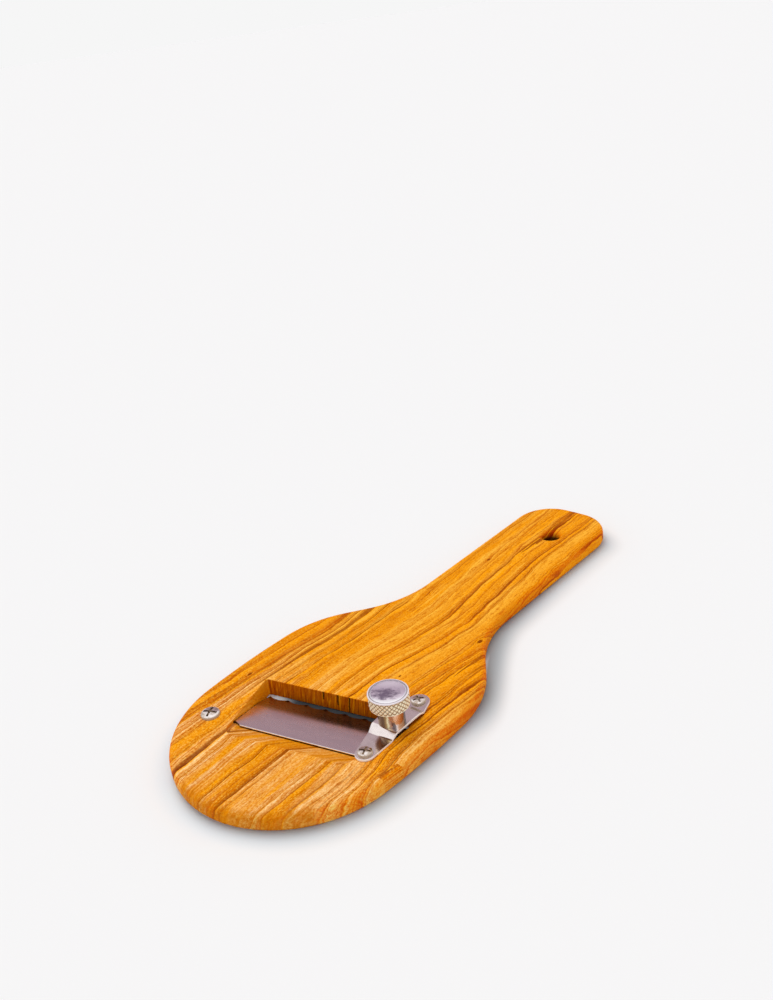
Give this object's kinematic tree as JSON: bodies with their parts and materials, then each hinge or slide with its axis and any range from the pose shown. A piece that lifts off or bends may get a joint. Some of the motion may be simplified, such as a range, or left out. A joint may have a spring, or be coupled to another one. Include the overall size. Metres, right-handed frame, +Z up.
{
  "type": "truffle slicer",
  "caption": "Wooden paddle truffle slicer with a sloped wavy steel blade and a thumbscrew bridge that sets the slice thickness.",
  "frame": {"origin": "middle of the board's outline, on the flat sole", "axes": "+Z up out of the sole, +Y along the board to the handle, +X to the bridge side"},
  "size_m": [0.0968, 0.24, 0.0227],
  "materials": {
    "olive_wood": "oiled, sanded smooth",
    "blade_steel": "ground and polished",
    "sheet_steel": "pressed and polished",
    "polished_steel": "turned and polished",
    "stud_steel": "rolled thread",
    "plated_brass": "knurled, pale nickel plate",
    "screw_steel": "plated"
  },
  "bodies": {
    "frame": {"board": "olive_wood", "bridge": "sheet_steel", "tapped_bush": "polished_steel", "bridge_screws": "screw_steel", "blade_screw": "screw_steel"},
    "blade": {"blade": "blade_steel"},
    "stud": {"threaded_stud": "stud_steel"},
    "thumb_head": {"knurled_head": "plated_brass"}
  },
  "joints": [
    {"name": "screw_feed", "type": "slide", "parent": "frame", "child": "stud", "axis": [0, 0, 1], "range_m": [-0.001, 0]},
    {"name": "screw_turn", "type": "hinge", "parent": "stud", "child": "thumb_head", "pos_m": [0.03135, -0.054, 0.02], "axis": [0, 0, 1], "range_deg": [-450, 0]},
    {"name": "blade_tilt", "type": "hinge", "parent": "frame", "child": "blade", "pos_m": [0.00608, -0.07792, 0.00638], "axis": [-0.972, -0.2351, 0], "range_deg": [0, 3.31]}
  ],
  "couplings": [
    {"joint": "screw_feed", "follows": "screw_turn", "m_per_rad": 0.00012732},
    {"joint": "blade_tilt", "follows": "screw_turn", "ratio": -0.0073561}
  ]
}
